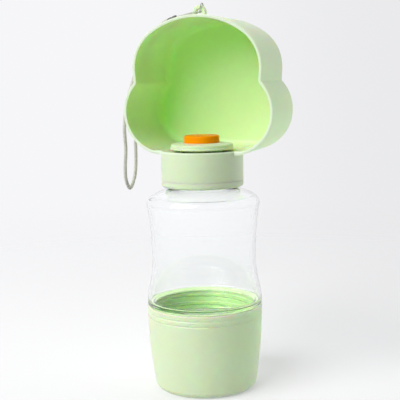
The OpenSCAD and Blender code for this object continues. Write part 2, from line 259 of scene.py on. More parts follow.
def run_tree(piece, tree, **sizes):
    """Runs a tree on a piece with the sizes that it asks for, and keeps the result."""
    step = piece.modifiers.new(tree.name, "NODES")
    step.node_group = tree
    titles = {item.name.lower().replace(" ", "_"): item.identifier
              for item in tree.interface.items_tree if item.in_out == "INPUT"}
    for title, value in sizes.items():
        step[titles[title]] = value
    keep_result(piece)
    piece.data.materials.clear()
    piece.data.materials.append(sizes["material"])
    return piece


def thread_tree():
    """Raises a helical ridge on the walls that lie between two radii, and lets it run out at both ends."""
    sizes = ["Pitch", "Depth", "Low", "Turns", "Crest", "Foot", "Fade", "Inner", "Outer"]
    tree, given = new_tree("wind_thread", dict.fromkeys(sizes, "Float"))
    place = add(tree, "GeometryNodeInputPosition")
    xyz = add(tree, "ShaderNodeSeparateXYZ", {0: place})
    flat = add(tree, "ShaderNodeCombineXYZ", {"X": xyz.outputs["X"], "Y": xyz.outputs["Y"]})
    radius = on_vectors(tree, "LENGTH", flat).outputs["Value"]
    outward = on_vectors(tree, "NORMALIZE", flat)
    angle = maths(tree, "ARCTAN2", xyz.outputs["Y"], xyz.outputs["X"])
    share = maths(tree, "DIVIDE", angle, 2 * math.pi)
    rise = maths(tree, "SUBTRACT", xyz.outputs["Z"], given["Low"])
    climbed = maths(tree, "DIVIDE", rise, given["Pitch"])
    phase = maths(tree, "SUBTRACT", climbed, share)
    turn = maths(tree, "FLOOR", phase)
    beside = maths(tree, "FRACT", phase)
    middle = maths(tree, "SUBTRACT", beside, 0.5)
    apart = maths(tree, "ABSOLUTE", middle)
    ridge = add(tree, "ShaderNodeMapRange", {
        "Value": apart, "From Min": given["Foot"], "From Max": given["Crest"]},
        interpolation_type="SMOOTHSTEP")
    wound = maths(tree, "ADD", turn, share)
    starts = add(tree, "ShaderNodeMapRange", {"Value": wound, "From Min": 0.0, "From Max": given["Fade"]},
                 interpolation_type="SMOOTHSTEP")
    left = maths(tree, "SUBTRACT", given["Turns"], wound)
    ends = add(tree, "ShaderNodeMapRange", {"Value": left, "From Min": 0.0, "From Max": given["Fade"]},
               interpolation_type="SMOOTHSTEP")
    beyond = maths(tree, "GREATER_THAN", radius, given["Inner"])
    within = maths(tree, "LESS_THAN", radius, given["Outer"])
    height = given["Depth"]
    for factor in (ridge, starts, ends, beyond, within):
        height = maths(tree, "MULTIPLY", height, factor.outputs[0]).outputs[0]
    shift = scaled(tree, outward, height)
    moved = add(tree, "GeometryNodeSetPosition", {"Geometry": given["Geometry"], "Offset": shift})
    return end_tree(tree, moved, given)


def braid_tree():
    """Lays strands round a path: half of them each way round and woven, or all one way as a twisted string."""
    tree, given = new_tree("lay_strands", {
        "Strands": "Int", "Ways": "Int", "Lay": "Float", "Reel": "Float", "Weave": "Float",
        "Strand": "Float", "Flat": "Float", "Oval": "Float", "Step": "Float", "Core": "Float"})
    line = add(tree, "GeometryNodeMeshToCurve", {"Mesh": given["Geometry"]})
    route = add(tree, "GeometryNodeResampleCurve", {"Curve": line, "Length": given["Step"]}, mode="LENGTH")
    total = maths(tree, "MULTIPLY", given["Strands"], given["Ways"])
    copies = add(tree, "GeometryNodeDuplicateElements", {"Geometry": route, "Amount": total}, domain="SPLINE")
    number = copies.outputs["Duplicate Index"]
    way_number = maths(tree, "DIVIDE", number, given["Strands"])
    way_floor = maths(tree, "FLOOR", way_number)
    way = maths(tree, "MULTIPLY_ADD", way_floor, -2.0, 1.0)
    along = add(tree, "GeometryNodeSplineParameter").outputs["Length"]
    laid = maths(tree, "DIVIDE", along, given["Lay"])
    turned = maths(tree, "MULTIPLY", laid, 2 * math.pi)
    start = maths(tree, "MULTIPLY", way_number, 2 * math.pi)
    spin = maths(tree, "MULTIPLY_ADD", turned, way, start)
    crossing = maths(tree, "MULTIPLY", turned, given["Strands"])
    over = maths(tree, "COSINE", crossing)
    woven = maths(tree, "MULTIPLY", over, given["Weave"])
    reel = maths(tree, "MULTIPLY_ADD", woven, way, given["Reel"])
    normal = add(tree, "GeometryNodeInputNormal").outputs["Normal"]
    tangent = add(tree, "GeometryNodeInputTangent")
    second = on_vectors(tree, "CROSS_PRODUCT", tangent, normal)
    one = maths(tree, "COSINE", spin)
    other = maths(tree, "SINE", spin)
    other_oval = maths(tree, "MULTIPLY", other, given["Oval"])
    part_one = scaled(tree, normal, one)
    part_two = scaled(tree, second, other_oval)
    ray = on_vectors(tree, "ADD", part_one, part_two)
    shift = scaled(tree, ray, reel)
    ray_kept = add(tree, "GeometryNodeStoreNamedAttribute", {"Geometry": copies, "Name": "ray", "Value": ray},
                   data_type="FLOAT_VECTOR", domain="POINT")
    strands = add(tree, "GeometryNodeSetPosition", {"Geometry": ray_kept, "Offset": shift})
    place = add(tree, "GeometryNodeInputPosition")
    line_kept = add(tree, "GeometryNodeStoreNamedAttribute",
                    {"Geometry": strands, "Name": "line", "Value": place},
                    data_type="FLOAT_VECTOR", domain="POINT")
    around = add(tree, "GeometryNodeCurvePrimitiveCircle", {"Resolution": 5, "Radius": given["Strand"]})
    tubes = add(tree, "GeometryNodeCurveToMesh", {
        "Curve": line_kept, "Profile Curve": around, "Fill Caps": True})
    kept_ray = add(tree, "GeometryNodeInputNamedAttribute", {"Name": "ray"}, data_type="FLOAT_VECTOR")
    kept_line = add(tree, "GeometryNodeInputNamedAttribute", {"Name": "line"}, data_type="FLOAT_VECTOR")
    unit_ray = on_vectors(tree, "NORMALIZE", kept_ray)
    off_line = on_vectors(tree, "SUBTRACT", place, kept_line)
    thick = on_vectors(tree, "DOT_PRODUCT", off_line, unit_ray).outputs["Value"]
    pressed = maths(tree, "MULTIPLY", thick, given["Flat"])
    press = scaled(tree, unit_ray, pressed)
    tapes = add(tree, "GeometryNodeSetPosition", {"Geometry": tubes, "Offset": press})
    middle = add(tree, "GeometryNodeCurvePrimitiveCircle", {"Resolution": 10, "Radius": given["Core"]})
    core = add(tree, "GeometryNodeCurveToMesh", {"Curve": route, "Profile Curve": middle, "Fill Caps": True})
    both = add(tree, "GeometryNodeJoinGeometry", {"Geometry": tapes})
    tree.links.new(core.outputs[0], both.inputs[0])
    soft = add(tree, "GeometryNodeSetShadeSmooth", {"Geometry": both})
    return end_tree(tree, soft, given)


def spring_tree():
    """Winds a wire into a coil that starts at the given height."""
    tree, given = new_tree("wind_spring", {
        "Coil": "Float", "Wire": "Float", "Turns": "Float", "Low": "Float", "Length": "Float"})
    coil = add(tree, "GeometryNodeCurveSpiral", {
        "Resolution": 40, "Rotations": given["Turns"], "Start Radius": given["Coil"],
        "End Radius": given["Coil"], "Height": given["Length"]})
    round_wire = add(tree, "GeometryNodeCurvePrimitiveCircle", {"Resolution": 12, "Radius": given["Wire"]})
    wire = add(tree, "GeometryNodeCurveToMesh", {
        "Curve": coil, "Profile Curve": round_wire, "Fill Caps": True})
    lift = add(tree, "ShaderNodeCombineXYZ", {"Z": given["Low"]})
    raised = add(tree, "GeometryNodeTransform", {"Geometry": wire, "Translation": lift})
    soft = add(tree, "GeometryNodeSetShadeSmooth", {"Geometry": raised})
    return end_tree(tree, soft, given)


# Materials

def linear(code):
    """An sRGB hex colour as a linear one."""
    parts = [int(code[i:i + 2], 16) / 255 for i in (0, 2, 4)]
    return [*(c / 12.92 if c <= 0.04045 else ((c + 0.055) / 1.055) ** 2.4 for c in parts), 1.0]


def per_mm(size):
    """Texture scale for features of a size in mm, on coordinates in metres."""
    return 1 / (size * MM)


def new_material(name, **sockets):
    """A Principled material with its fixed values on the shader's own sockets."""
    material = bpy.data.materials.new(name)
    material.use_nodes = True
    tree = material.node_tree
    tree.nodes.clear()
    shader = add(tree, "ShaderNodeBsdfPrincipled", {k.replace("_", " "): v for k, v in sockets.items()})
    add(tree, "ShaderNodeOutputMaterial", {"Surface": shader})
    place = add(tree, "ShaderNodeTexCoord").outputs["Object"]
    return material, tree, shader, place


def grained(tree, shader, place, size, depth, strength=1.0):
    """A fine moulded grain: its size and depth in mm."""
    grain = add(tree, "ShaderNodeTexNoise", {"Vector": place, "Scale": per_mm(size), "Detail": 2.0})
    bump = add(tree, "ShaderNodeBump", {"Height": grain, "Distance": depth * MM, "Strength": strength})
    tree.links.new(bump.outputs[0], shader.inputs["Normal"])


def blotched(tree, shader, place, one, two, size, low=0.35, high=0.65):
    """Two near colours in soft clouds of a size in mm."""
    cloud = add(tree, "ShaderNodeTexNoise", {"Vector": place, "Scale": per_mm(size), "Detail": 3.0})
    share = add(tree, "ShaderNodeMapRange", {"Value": cloud, "From Min": low, "From Max": high})
    mix = add(tree, "ShaderNodeMix", {0: share.outputs[0]}, data_type="RGBA")
    mix.inputs[6].default_value = linear(one)
    mix.inputs[7].default_value = linear(two)
    tree.links.new(mix.outputs[2], shader.inputs["Base Color"])


def polypropylene(name, one, two, depth, roughness=0.45, grain=0.004):
    """Polypropylene, injection moulded: milky pastel green. Depth: how far red, green and blue get in, in mm."""
    material, tree, shader, place = new_material(
        name, Roughness=roughness, IOR=1.49, Subsurface_Weight=1.0, Subsurface_Radius=depth,
        Subsurface_Scale=MM)
    blotched(tree, shader, place, one, two, 26)
    grained(tree, shader, place, 0.5, grain)
    return material


def clear_copolyester(name, roughness):
    """Copolyester, stretch blow moulded: glass clear, with very slight waves from the blowing."""
    material, tree, shader, place = new_material(
        name, Base_Color=linear("FEFFFF"), Roughness=roughness, IOR=1.45, Transmission_Weight=1.0)
    grained(tree, shader, place, 14, 0.03, 0.5)
    lamps = add(tree, "ShaderNodeLightPath").outputs["Is Shadow Ray"]
    through = add(tree, "ShaderNodeBsdfTransparent", {"Color": linear("F4F6F6")})
    surface = add(tree, "ShaderNodeMixShader", {0: lamps, 1: shader, 2: through})
    tree.links.new(surface.outputs[0], tree.get_output_node("ALL").inputs["Surface"])
    return material


def orange_button():
    """ABS, injection moulded: opaque warm orange, smooth with a soft gloss."""
    material, tree, shader, place = new_material("abs_moulded_orange", Roughness=0.36, IOR=1.52,
                                                 Specular_IOR_Level=0.05, Subsurface_Weight=0.2,
                                                 Subsurface_Radius=(1.6, 0.8, 0.1), Subsurface_Scale=MM)
    blotched(tree, shader, place, "FF9C00", "FF9600", 9)
    grained(tree, shader, place, 0.6, 0.004)
    return material


def pressed_silicone(name, one, two):
    """Silicone rubber, press moulded: milky and half clear, with a dry matte skin."""
    material, tree, shader, place = new_material(
        name, Roughness=0.55, IOR=1.41, Subsurface_Weight=0.6,
        Subsurface_Radius=(1.0, 1.0, 0.9), Subsurface_Scale=1.2 * MM)
    blotched(tree, shader, place, one, two, 5)
    grained(tree, shader, place, 0.4, 0.006)
    return material


def black_rubber():
    """Nitrile rubber, press moulded: dull black with a slight bloom."""
    material, tree, shader, place = new_material("nitrile_pressed_black", Roughness=0.6, IOR=1.52)
    blotched(tree, shader, place, "17181A", "232425", 2)
    grained(tree, shader, place, 0.3, 0.006)
    return material


def white_acetal():
    """Acetal, injection moulded: dense off-white with a waxy gloss."""
    material, tree, shader, place = new_material("acetal_moulded_white", Roughness=0.32, IOR=1.48)
    blotched(tree, shader, place, "EFEEE8", "E7E6DF", 6)
    grained(tree, shader, place, 0.5, 0.004)
    return material


def spring_steel():
    """Stainless steel, cold drawn: grey with fine lines along the wire."""
    material, tree, shader, place = new_material("stainless_drawn_wire", Roughness=0.28, Metallic=1.0)
    blotched(tree, shader, place, "B9BBBE", "A6A8AC", 1.2)
    grained(tree, shader, place, 0.15, 0.004)
    return material


def braided_polyester(name, one, two, fibre=0.18):
    """Polyester yarn: soft grey, rough, with lighter and darker fibres."""
    material, tree, shader, place = new_material(name, Roughness=0.85, IOR=1.5, Sheen_Weight=0.35,
                                                 Sheen_Roughness=0.5)
    blotched(tree, shader, place, one, two, 1.1, 0.3, 0.7)
    grained(tree, shader, place, fibre, 0.03)
    return material


def dark_sleeve():
    """Heat-shrunk polyolefin sleeve: charcoal, softly wrinkled and slightly shiny."""
    material, tree, shader, place = new_material("polyolefin_shrunk_charcoal", Roughness=0.42, IOR=1.5)
    blotched(tree, shader, place, "7C7C77", "696966", 2)
    grained(tree, shader, place, 0.7, 0.04)
    return material


# Outside: soft satin from a spark-eroded mould. The bowl's thin wall lets green light through. The inside is
# polished and a little glossier. Its deeper green, in the bowl and the cup, is painted shade. The rim's paler
# green is a painted highlight.
# All greens and depths are fitted to the photograph by comparing levels. The rim's paler colour, the
# darker one inside the cup and the cup seal's tint have no other source.
POLISHED = ((2.4, 6.5, 0.15), 0.36, 0.002)        # depth, roughness, grain
green = polypropylene("polypropylene_moulded_satin", "DEF0CA", "E0F1CE", (1.0, 1.4, 0.4))
green_wall = polypropylene("polypropylene_moulded_thin", "DCEDC8", "DEEFCC", (2.2, 5.5, 0.2))
green_inside_painted_shade = polypropylene("polypropylene_moulded_polished", "D8E8B8", "DAE9BC", *POLISHED)
green_rim_painted_highlight = polypropylene("polypropylene_moulded_rim", "E6F7D8", "E8F8DE", (0.5, 0.5, 0.5), 0.4)
green_cup_painted_shade = polypropylene("polypropylene_moulded_deep", "B4D090", "B8D296", *POLISHED)
# A blown bottle's push-up is hardly stretched. That it stays a little cloudy here is a guess.
clear = clear_copolyester("copolyester_blown_clear", 0.015)
cloudy = clear_copolyester("copolyester_unstretched_cloudy", 0.2)
orange = orange_button()
silicone = pressed_silicone("silicone_pressed_milky", "E9ECE6", "DDE1DA")
tinted_silicone = pressed_silicone("silicone_pressed_tinted", "C8E6A4", "C1E29C")
rubber = black_rubber()
acetal = white_acetal()
steel = spring_steel()
strap_yarn = braided_polyester("polyester_braided_grey", "DDDCD3", "C6C5BB")
string_yarn = braided_polyester("polyester_twisted_grey", "D4D3CC", "BBBAB3", 0.12)
sleeve = dark_sleeve()


# Camera: fitted to the round rims and edges in the photograph

IMAGE_PX = 400
FOCAL_PX = 948.4
SENSOR_MM = 36
CAMERA_TURN_DEG = 21
CAMERA_DISTANCE = 599.9
CAMERA_HEIGHT = 204.6
PITCH_DEG = -7.924
YAW_DEG = 0.18
ROLL_DEG = -1.112


def make_camera():
    data = bpy.data.cameras.new("camera")
    data.sensor_width = SENSOR_MM
    data.lens = SENSOR_MM * FOCAL_PX / IMAGE_PX
    camera = bpy.data.objects.new("camera", data)
    bpy.context.scene.collection.objects.link(camera)
    bpy.context.scene.camera = camera
    turn = Matrix.Rotation(math.radians(CAMERA_TURN_DEG), 4, "Z")
    level = Matrix.Rotation(math.radians(90 + PITCH_DEG), 4, "X")
    yaw = Matrix.Rotation(math.radians(YAW_DEG), 4, "Z")
    roll = Matrix.Rotation(math.radians(ROLL_DEG), 4, "Z")
    place = Matrix.Translation((0, -CAMERA_DISTANCE * MM, CAMERA_HEIGHT * MM))
    camera.matrix_world = turn @ place @ yaw @ level @ roll


make_camera()


# Wrist strap: the routes repeat the CAD model's points

STRAP_ROUTE = [
    (-21.8, 0.7, 234.6), (-24.6, 0.9, 233.3), (-33.6, 2.2, 227.4), (-40.4, 3, 218.6),
    (-43.6, 2.6, 210.4), (-47.2, 0.8, 197), (-50.7, -1.4, 184.6), (-51.4, -3.4, 176),
    (-51.5, -5, 166), (-51.2, -4.6, 153), (-51.7, -5.2, 142), (-52, -3.8, 133.2),
    (-52.3, 2.6, 127.1), (-52, 9, 133), (-51.6, 11, 142), (-51.4, 11, 153),
    (-51.4, 10.8, 166), (-51.4, 10.4, 176), (-50.7, 9.8, 184.6), (-47.2, 9, 197),
    (-43.6, 8, 210.4), (-40.4, 7, 218.6), (-33.6, 5.6, 227.4), (-24.6, 3.9, 233.3), (-21.8, 3.5, 234.6)]
STRING_ROUTE = [
    (-16.2, 1.5, 236.7), (-9, -1, 237.9), (-3.6, -2.2, 238.8), (-0.6, -1.7, 239.1),
    (-0.3, 0.5, 238.8), (0.5, 2.5, 239.4), (1.2, 2.9, 241.3), (1.5, 2.6, 243.2),
    (1.6, 0.5, 244.4), (1.5, -1.6, 243.2), (1.3, -2, 241.4), (0.8, -1.6, 240.1),
    (0.3, 0.5, 240), (-0.9, 2.5, 239.3), (-5, 3, 238.7), (-10, 2.8, 237.8), (-16.2, 2.6, 236.7)]
CRIMP_ENDS = [(-16.2, 2.1, 236.7), (-21.8, 2.1, 234.6)]
ROUTE_STEPS = 8

strands = braid_tree()


def cord_on(name, route, material, **sizes):
    """A braided or twisted cord along a route, with the points that it follows."""
    path = [p * MM for p in smooth_route(route, ROUTE_STEPS)]
    data = bpy.data.meshes.new(name)
    data.from_pydata(path, [(i, i + 1) for i in range(len(path) - 1)], [])
    piece = bpy.data.objects.new(name, data)
    bpy.context.scene.collection.objects.link(piece)
    run_tree(piece, strands, material=material, **sizes)
    length = sum((b - a).length for a, b in zip(path, path[1:]))
    return piece, path, length


strap, strap_path, strap_length = cord_on(
    "strap_braid", STRAP_ROUTE, strap_yarn, strands=6, ways=2, lay=9 * MM, reel=0.95 * MM, weave=0.13 * MM,
    strand=0.44 * MM, flat=-0.52, oval=0.86, step=0.26 * MM, core=0.78 * MM)
string, string_path, string_length = cord_on(
    "string_twist", STRING_ROUTE, string_yarn, strands=2, ways=1, lay=2.6 * MM, reel=0.2 * MM, weave=0.0,
    strand=0.25 * MM, flat=0.0, oval=1.0, step=0.2 * MM, core=0.1 * MM)


def make_crimp():
    """A flat sleeve, pinched in the middle, over the strap's two ends and the string."""
    start, end = (Vector(p) for p in CRIMP_ENDS)
    run = end - start
    across = Vector((0, 1, 0))
    over = run.normalized().cross(across)
    stations = [(0.0, 0.72), (0.04, 0.9), (0.12, 1.0), (0.36, 1.0), (0.46, 0.86), (0.54, 0.86),
                (0.64, 1.0), (0.88, 1.0), (0.96, 0.9), (1.0, 0.72)]
    wide, tall, sides = 2.4, 1.45, 28
    rings = []
    for along, share in stations:
        middle = start + run * along
        ring = []
        for k in range(sides):
            turn = 2 * math.pi * k / sides
            ring.append(middle + across * wide * (0.4 + 0.6 * share) * math.cos(turn)
                        + over * tall * share * math.sin(turn))
        rings.append(ring)
    return skin("crimp_sleeve", rings, sleeve)


crimp = make_crimp()
placed(strap, "cap", "grey_cord", "strap_cord")
placed(string, "cap", "grey_cord", "strap_string")
placed(crimp, "cap", "dark_crimp", "strap_crimp")


def finish_or_painted_shade_where(piece, material_pick, chosen):
    """Gives another material to the faces that are chosen by their place and direction: a real finish, or a
    deeper green that is painted shade.
    """
    piece.data.materials.append(material_pick)
    number = len(piece.data.materials) - 1
    for face in piece.data.polygons:
        if chosen(face.center, face.normal):
            face.material_index = number
    return piece


# Food cup

CUP_WALL = 2.4
CUP_SIDE_R = 305
CUP_BASE_ROUND = 4.5
CUP_FLOOR = 2.6
CUP_FLOOR_ROUND = 3
MOUTH_R = 34.2
MOUTH_DEPTH = 16
GROOVE_DROPS = (3.4, 6.7)
GROOVE_HALF = 0.75
GROOVE_DEPTH = 0.4
CUP_PITCH = 6
CUP_TURNS = 1.6
CUP_THREAD_H = 0.8
CUP_THREAD_LOW = 40.5
THREAD_FADE = 0.1
THREAD_BAND = 0.1       # how far a thread's wall may lie from the radius that its tree looks for
threads = thread_tree()


def wind(piece, material, radius, depth, **sizes):
    """Winds a thread on the wall that stands at a radius. A negative depth raises it inwards."""
    lengths = {name: sizes.pop(name) * MM for name in ("pitch", "low")}
    run_tree(piece, threads, material=material, depth=depth * MM, fade=THREAD_FADE,
             inner=(radius - THREAD_BAND) * MM, outer=(radius + THREAD_BAND) * MM, **lengths, **sizes)


def cup_side(z):
    return cup_high.x - CUP_SIDE_R + math.sqrt(CUP_SIDE_R ** 2 - (cup_high.z - z) ** 2)


def steps_between(low, high, count):
    return [low + (high - low) * k / count for k in range(count + 1)]


def make_cup():
    top = cup_high.z
    base = CUP_BASE_ROUND
    foot = cup_side(base) - base
    side = [(cup_side(z), z) for z in steps_between(base + 1, top - 9, 20)]
    for drop in reversed(GROOVE_DROPS):
        z = top - drop
        side += [(cup_side(z - GROOVE_HALF), z - GROOVE_HALF, 0.35), (cup_side(z) - GROOVE_DEPTH, z, 0.45),
                 (cup_side(z + GROOVE_HALF), z + GROOVE_HALF, 0.35)]
    mouth_low = top - MOUTH_DEPTH
    floor_c = (cup_side(CUP_FLOOR + CUP_FLOOR_ROUND) - CUP_WALL - CUP_FLOOR_ROUND, CUP_FLOOR + CUP_FLOOR_ROUND)
    inside = [(min(cup_side(z) - CUP_WALL, MOUTH_R - 0.5), z)
              for z in steps_between(floor_c[1] + 1, mouth_low - 1, 10)]
    mouth = [(MOUTH_R, z) for z in steps_between(mouth_low + 1, top - 1.2, 56)]
    outline = rounded([(0, 0), *arc((foot, base), base, -90, 0, 10), *side, (cup_high.x, top, 0.7),
                       (MOUTH_R, top, 0.7), *reversed(mouth), *reversed(inside),
                       *arc(floor_c, CUP_FLOOR_ROUND, 0, -90), (0, CUP_FLOOR)])
    cup = lathe("cup_shell", outline)
    wind(cup, green_wall, MOUTH_R, -CUP_THREAD_H, pitch=CUP_PITCH, low=CUP_THREAD_LOW, turns=CUP_TURNS,
         crest=0.1, foot=0.24)
    # Inward faces and the cup's floor take a darker green: painted shade inside the cup.
    finish_or_painted_shade_where(cup, green_cup_painted_shade, lambda place, normal: place.xy.dot(normal.xy) < 0
                   or (normal.z > 0.5 and place.z < (CUP_FLOOR + 1) * MM))
    return shaded(cup)


placed(make_cup(), "cup", "green_plastic", "food_cup")


# Clear bottle

BOTTLE_WALL = 1.8
LEDGE_BAND = 1.2
LEDGE_THICK = 1.8
LEDGE_FILLET = 1.8
LEDGE_ARC_R = 40
WAIST_R = 33.3
WAIST_Z = 86
SHOULDER_R = 36
CORNER_R = 6
CORNER_Z = 119.6
DOME_R = 75
NECK_R = 20.6
NECK_BORE_R = 18.6
PLUG_R = 33.2
PLUG_WALL = 1.4
PLUG_ROUND = 3
PLUG_FOOT_R = 28
PUSH_UP = 7
GATE_MARK_R = 4
GATE_MARK_H = 0.35
GATE_MARK_HALF = 0.5
NECK_PITCH = 4.5
NECK_TURNS = 2
NECK_THREAD_H = 1.0
PLUG_THREAD_LOW = 40.2
NECK_THREAD_LOW = 133.5


def bottle_side(off):
    """The side from the ledge to the neck, moved inwards by the wall for the inside."""
    ledge_r = bottle_high.x
    ledge_z = seal_high.z + LEDGE_BAND
    drop = WAIST_Z - ledge_z
    waist_arc = (drop ** 2 + (ledge_r - WAIST_R) ** 2) / 2 / (ledge_r - WAIST_R) - LEDGE_ARC_R
    step = SHOULDER_R - CORNER_R - WAIST_R
    upper_arc = ((CORNER_Z - WAIST_Z) ** 2 + step ** 2 - CORNER_R ** 2) / 2 / (CORNER_R + step)
    turn = math.degrees(math.asin(drop / (LEDGE_ARC_R + waist_arc)))
    rise = math.degrees(math.asin((CORNER_Z - WAIST_Z) / (upper_arc + CORNER_R)))
    corner_x = SHOULDER_R - CORNER_R
    dome_z = CORNER_Z - math.sqrt((DOME_R - CORNER_R) ** 2 - corner_x ** 2)
    lean = math.degrees(math.acos(corner_x / (DOME_R - CORNER_R)))
    neck_x = (NECK_BORE_R if off else NECK_R) + 1
    neck_lean = math.degrees(math.acos(neck_x / (DOME_R - off)))
    return [*arc((ledge_r - LEDGE_ARC_R, ledge_z), LEDGE_ARC_R - off, 0, turn, 12)[:-1],
            *arc((WAIST_R + waist_arc, WAIST_Z), waist_arc + off, 180 + turn, 180, 16)[:-1],
            *arc((WAIST_R + upper_arc, WAIST_Z), upper_arc + off, 180, 180 - rise, 14)[:-1],
            *arc((corner_x, CORNER_Z), CORNER_R - off, -rise, lean, 16)[:-1],
            *arc((0, dome_z), DOME_R - off, lean, neck_lean, 8)]


def make_bottle():
    foot_z = bottle_low.z
    dome = (PLUG_FOOT_R ** 2 + PUSH_UP ** 2) / 2 / PUSH_UP
    foot_c = (0, foot_z + PUSH_UP - dome)
    lean = math.degrees(math.acos(PLUG_FOOT_R / dome))
    ledge_z = seal_high.z
    ledge_top = ledge_z + LEDGE_THICK
    plug_in = PLUG_R - PLUG_WALL
    under = arc(foot_c, dome, 90, lean, 24)
    over = [(r, z + GATE_MARK_H * math.exp(-((r - GATE_MARK_R) / GATE_MARK_HALF) ** 2))
            for r, z in arc(foot_c, dome + PLUG_WALL, lean + 2, 90, 24)]
    threaded = [(PLUG_R, z) for z in steps_between(foot_z + PLUG_ROUND + 0.6, ledge_z - 1, 52)]
    bare = [(plug_in, z) for z in steps_between(foot_z + PLUG_ROUND + 0.6, ledge_z - 0.5, 12)]
    inside = [p for p in bottle_side(BOTTLE_WALL) if p[1] > ledge_top + LEDGE_FILLET]
    neck_low = bottle_side(0)[-1][1] + 2.2
    neck = [(NECK_R, z) for z in steps_between(neck_low, bottle_high.z - 1.2, 60)]
    neck_corner = (NECK_R, bottle_side(0)[-1][1] + 0.4, 1.0)
    bore_corner = (NECK_BORE_R, bottle_side(BOTTLE_WALL)[-1][1] + 0.4, 1.0)
    outline = rounded([
        *under, *arc((PLUG_R - PLUG_ROUND, foot_z + PLUG_ROUND), PLUG_ROUND, -90, 0), *threaded,
        (PLUG_R, ledge_z, 0.5), (bottle_high.x, ledge_z, 0.4), *bottle_side(0), neck_corner, *neck,
        (NECK_R, bottle_high.z, 0.5), (NECK_BORE_R, bottle_high.z, 0.5), bore_corner,
        *reversed(inside), (bottle_high.x - BOTTLE_WALL, ledge_top, 1.4), (plug_in, ledge_top, 1.2),
        *reversed(bare), *arc((PLUG_R - PLUG_ROUND, foot_z + PLUG_ROUND), PLUG_ROUND - PLUG_WALL, 0, -90),
        *over])
    bottle = lathe("bottle_shell", outline, around=192)
    wind(bottle, clear, PLUG_R, CUP_THREAD_H, pitch=CUP_PITCH, low=PLUG_THREAD_LOW, turns=CUP_TURNS,
         crest=0.08, foot=0.2)
    wind(bottle, clear, NECK_R, NECK_THREAD_H, pitch=NECK_PITCH, low=NECK_THREAD_LOW, turns=NECK_TURNS,
         crest=0.08, foot=0.24)
    push_up_top = (foot_z + PUSH_UP + PLUG_WALL + 1) * MM
    finish_or_painted_shade_where(bottle, cloudy, lambda place, normal: place.z < push_up_top
                   and place.xy.length < PLUG_FOOT_R * MM)
    return shaded(bottle)


placed(make_bottle(), "flask", "clear_plastic", "bottle")


# Screw ring

COLLAR_R = ring_high.x
SLEEVE_R = 24
SLEEVE_BORE_R = 22.4
RING_FOOT_H = 4.2
RING_FOOT_ROUND = 2
RING_LEAD = 0.8
RING_THREAD_LOW = 131.5
RING_TURNS = 3
PARTING = 0.1
PARTING_H = 0.17
PARTING_ROUND = 0.08


def make_ring():
    low, top = ring_low.z, ring_high.z
    bore = [(SLEEVE_BORE_R, z) for z in steps_between(low + RING_LEAD + 0.6, top - 0.8, 60)]
    ring = lathe("ring_insert", rounded([
        (SLEEVE_BORE_R + RING_LEAD, low, 0.3), (COLLAR_R, low, RING_FOOT_ROUND),
        (COLLAR_R, low + RING_FOOT_H, PARTING_ROUND), (COLLAR_R - PARTING, low + RING_FOOT_H),
        (COLLAR_R - PARTING, low + RING_FOOT_H + PARTING_H),
        (SLEEVE_R, low + RING_FOOT_H + PARTING_H), (SLEEVE_R, top, 0.3),
        (SLEEVE_BORE_R, top, 0.3), *reversed(bore), (SLEEVE_BORE_R, low + RING_LEAD, 0.2)]))
    wind(ring, green, SLEEVE_BORE_R, -NECK_THREAD_H, pitch=NECK_PITCH, low=RING_THREAD_LOW, turns=RING_TURNS,
         crest=0.1, foot=0.26)
    return shaded(ring)


placed(make_ring(), "cap", "green_plastic", "screw_ring")


# Drinking bowl: the cloud outline is two side lobes below a wide lobe with a flatter arc on top

BOWL_WALL = 1.8
BOWL_FRONT = -9
BOWL_BACK = bowl_high.y
BOWL_TOP = 237.4
BACK_ROUND = 6
DRAFT = 0.6
RIM_ROUND = 0.35
ROUND_STEPS = 8
SIDE_LOBE_R = 27
TOP_LOBE_R = 28.3
TOP_ARC_R = 54.2
TOP_SPREAD = 34.3
LOW_CORNER = (14.2, 199.5)
NOTCH_ROUND = 1.0
FLOOR_UNDER = ring_high.z
FLOOR_TOP = FLOOR_UNDER + BOWL_WALL
SIDE_LOBE = (22.7, FLOOR_UNDER + SIDE_LOBE_R)
SKIRT_LOW = ring_low.z + RING_FOOT_H + 0.2
SKIRT_BORE_R = SLEEVE_R + 0.1
VALVE_HOLE_R = 16.6
LIP_H = 1
LIP_T = 1.2
LIP_SET_BACK = 0.02
LUG_R = 4.3
LUG_HOLE_R = 1.8
LUG_Z = 239.1
LUG_Y = (-1, 2)


def meeting(one, one_r, two, two_r):
    """The right-hand crossing of two circles."""
    a, b = Vector(one), Vector(two)
    gap = (b - a).length
    along = (one_r ** 2 - two_r ** 2 + gap ** 2) / 2 / gap
    off = math.sqrt(one_r ** 2 - along ** 2)
    way = (b - a) / gap
    return a + way * along + Vector((way.y, -way.x)) * off


def bearing(start, end):
    return math.degrees(math.atan2(end[1] - start[1], end[0] - start[0]))


